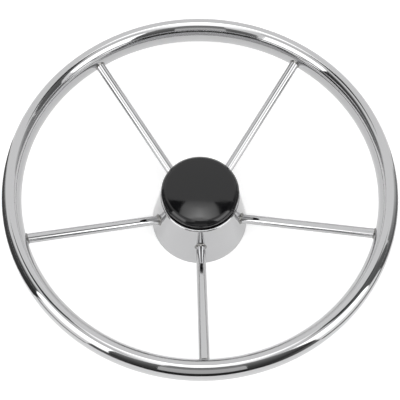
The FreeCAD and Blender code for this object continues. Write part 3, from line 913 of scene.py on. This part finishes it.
class HELM_OT_light_studio(bpy.types.Operator):
    """Make the floor, the room, the lamps, the softboxes and cards, and the camera"""

    bl_idname = "helm.light_studio"
    bl_label = "Studio"

    def execute(self, context):
        settings = settings_of(context)
        studio = settings.studio
        centre = Vector((0, 0, settings.rim.low + settings.rim.depth / 2))
        self.turn = math.degrees(-studio.camera_turn)
        self.lay_floor(context, studio)
        self.light_room(context, studio)
        for lamp in LAMPS:
            self.hang_lamp(context, studio.lamp_level, centre, *lamp)
        card_face = self.card_face()
        for name, *corners in CARDS:
            self.hang_card(context, name, card_face, centre, corners)
        self.set_camera(context, studio, centre)
        context.scene.view_settings.view_transform = "Standard"
        return {"FINISHED"}

    def hang_lamp(self, context, level, centre, name, azimuth, elevation, wide, high):
        """A lamp that only gives light: the softboxes stand for its face in the steel."""
        light = bpy.data.lights.new(name, "AREA")
        light.shape, light.size, light.size_y = "RECTANGLE", wide, high
        # So many watts make a face of this size as bright as the level says
        light.energy = level * math.pi * wide * high
        lamp = bpy.data.objects.new(name, light)
        context.scene.collection.objects.link(lamp)
        out = direction(azimuth + self.turn, elevation)
        lamp.location = centre + out * LAMP_DISTANCE
        lamp.rotation_euler = out.to_track_quat("Z", "Y").to_euler()
        lamp.visible_camera = lamp.visible_glossy = False

    def card_face(self):
        """Cloth and flock of the softboxes and cards: each shines as bright as its own level says."""
        face, tree, shader, _ = start_finish("studio_cloth_and_flock", (0, 0, 0), NOT_METAL)
        level = add_node(tree, "ShaderNodeAttribute", {"attribute_name": "level"})
        shader.inputs["Specular IOR Level"].default_value = 0
        shader.inputs["Emission Color"].default_value = (1, 1, 1, 1)
        tree.links.new(level.outputs["Fac"], shader.inputs["Emission Strength"])
        return face

    def hang_card(self, context, name, face, centre, corners):
        """A softbox or card that only shows in the steel and the cap, as those beside a camera do."""
        steps = 8
        ends = [direction(az + self.turn, el) * distance for az, el, distance, _ in corners]
        levels = [level for *_, level in corners]
        vertices, tones = [], []
        for i in range(steps + 1):
            for j in range(steps + 1):
                s, t = i / steps, j / steps
                weights = ((1 - s) * (1 - t), s * (1 - t), s * t, (1 - s) * t)
                vertices.append(centre + sum((end * w for end, w in zip(ends, weights)), Vector()))
                tones.append(sum(level * w for level, w in zip(levels, weights)))
        faces = [
            (a, a + steps + 1, a + steps + 2, a + 1)
            for i in range(steps) for a in range(i * (steps + 1), i * (steps + 1) + steps)
        ]
        mesh = bpy.data.meshes.new(name)
        mesh.from_pydata(vertices, [], faces)
        mesh.attributes.new("level", "FLOAT", "POINT").data.foreach_set("value", tones)
        mesh.materials.append(face)
        card = bpy.data.objects.new(name, mesh)
        context.scene.collection.objects.link(card)
        card.visible_camera = card.visible_diffuse = card.visible_shadow = False

    def lay_floor(self, context, studio):
        """Matt white paper, brighter to the camera and a little in reflections, as a lit sweep is."""
        mesh = bpy.data.meshes.new("floor")
        reach = 1.5
        corners = [(x * reach, y * reach, 0) for x, y in ((-1, -1), (1, -1), (1, 1), (-1, 1))]
        mesh.from_pydata(corners, [], [(0, 1, 2, 3)])
        paper, tree, shader, _ = start_finish("paper_matt_white", studio.floor_colour, NOT_METAL)
        shader.inputs["Roughness"].default_value = 1
        shader.inputs["Specular IOR Level"].default_value = 0
        shader.inputs["Emission Color"].default_value = (1, 1, 1, 1)
        glow = self.seen(tree, hidden=0, mirrored=0.2, shown=0.38)
        tree.links.new(glow, shader.inputs["Emission Strength"])
        mesh.materials.append(paper)
        floor = bpy.data.objects.new("floor", mesh)
        context.scene.collection.objects.link(floor)

    def seen(self, tree, hidden, mirrored, shown):
        """One number for most rays, one for rays from steel or plastic, and one for the camera's."""
        rays = add_node(tree, "ShaderNodeLightPath")
        either = add_node(
            tree, "ShaderNodeMath", {"operation": "MAXIMUM"},
            {0: rays.outputs["Is Glossy Ray"], 1: rays.outputs["Is Transmission Ray"]},
        )
        level = hidden
        for ray, other in ((either.outputs[0], mirrored), (rays.outputs["Is Camera Ray"], shown)):
            level = add_node(
                tree, "ShaderNodeMapRange", inputs={"Value": ray, "To Min": level, "To Max": other}
            ).outputs[0]
        return level

    def light_room(self, context, studio):
        """A white room that gives the object only part of its light."""
        world = bpy.data.worlds.new("white_room")
        context.scene.world = world
        world.use_nodes = True
        tree = world.node_tree
        tree.nodes.clear()
        level = self.seen(tree, hidden=studio.room_level, mirrored=1, shown=1)
        room = add_node(tree, "ShaderNodeBackground", inputs={"Color": (1, 1, 1, 1), "Strength": level})
        add_node(tree, "ShaderNodeOutputWorld", inputs={"Surface": room.outputs[0]})

    def set_camera(self, context, studio, centre):
        """The camera stands in front of the wheel's near side, and looks down at it."""
        data = bpy.data.cameras.new("camera")
        data.lens, data.sensor_width = 73.6, 36  # millimetres
        camera = bpy.data.objects.new("camera", data)
        context.scene.collection.objects.link(camera)
        height = studio.camera_elevation
        target = Vector((0, -studio.camera_aim, 0))
        back = Vector((0, -math.cos(height), math.sin(height)))
        right = Vector((1, 0, 0))
        up = back.cross(right)
        axes = Matrix((right, up, back)).transposed().to_4x4()
        axes = axes @ Matrix.Rotation(studio.camera_roll, 4, "Z")
        turned_by = Matrix.Rotation(studio.camera_turn, 4, "Z")
        place = Matrix.Translation(target + back * studio.camera_distance)
        camera.matrix_world = Matrix.Translation(centre) @ turned_by @ place @ axes
        context.scene.camera = camera


# ---------------------------------------------------------------- panel and start


class HELM_PT_sidebar(bpy.types.Panel):
    """Lists the wheel's pieces and their sizes"""

    bl_idname = "HELM_PT_sidebar"
    bl_label = "Steering Wheel"
    bl_space_type = "VIEW_3D"
    bl_region_type = "UI"
    bl_category = "Helm Wheel"

    def draw(self, context):
        settings = settings_of(context)
        for operator, group in PIECES:
            box = self.layout.box()
            box.operator(operator.bl_idname)
            sizes = getattr(settings, group)
            for name in sizes.__annotations__:
                box.prop(sizes, name)
        finish = self.layout.box()
        finish.label(text="Finishes")
        for name in settings.finish.__annotations__:
            finish.prop(settings.finish, name)


PIECES = (
    (HELM_OT_bend_rim, "rim"),
    (HELM_OT_press_cup, "hub"),
    (HELM_OT_turn_boss, "hub"),
    (HELM_OT_cut_rods, "spoke"),
    (HELM_OT_lay_welds, "spoke"),
    (HELM_OT_mould_cap, "cap"),
    (HELM_OT_light_studio, "studio"),
)
SIZE_GROUPS = (RimSizes, SpokeSizes, HubSizes, CapSizes, Finishes, StudioSizes, WheelSettings)
CLASSES = (*SIZE_GROUPS, *(operator for operator, _ in PIECES), HELM_PT_sidebar)


def register():
    """Makes the sizes, operators and panel known."""
    for part in CLASSES:
        bpy.utils.register_class(part)
    bpy.types.Scene.helm_wheel = bpy.props.PointerProperty(type=WheelSettings)


def unregister():
    """Takes them away again."""
    del bpy.types.Scene.helm_wheel
    for part in reversed(CLASSES):
        bpy.utils.unregister_class(part)


def main():
    register()
    bpy.ops.helm.bend_rim()
    bpy.ops.helm.press_cup()
    bpy.ops.helm.turn_boss()
    bpy.ops.helm.cut_rods()
    bpy.ops.helm.lay_welds()
    bpy.ops.helm.mould_cap()
    bpy.ops.helm.light_studio()


if __name__ == "__main__":
    main()
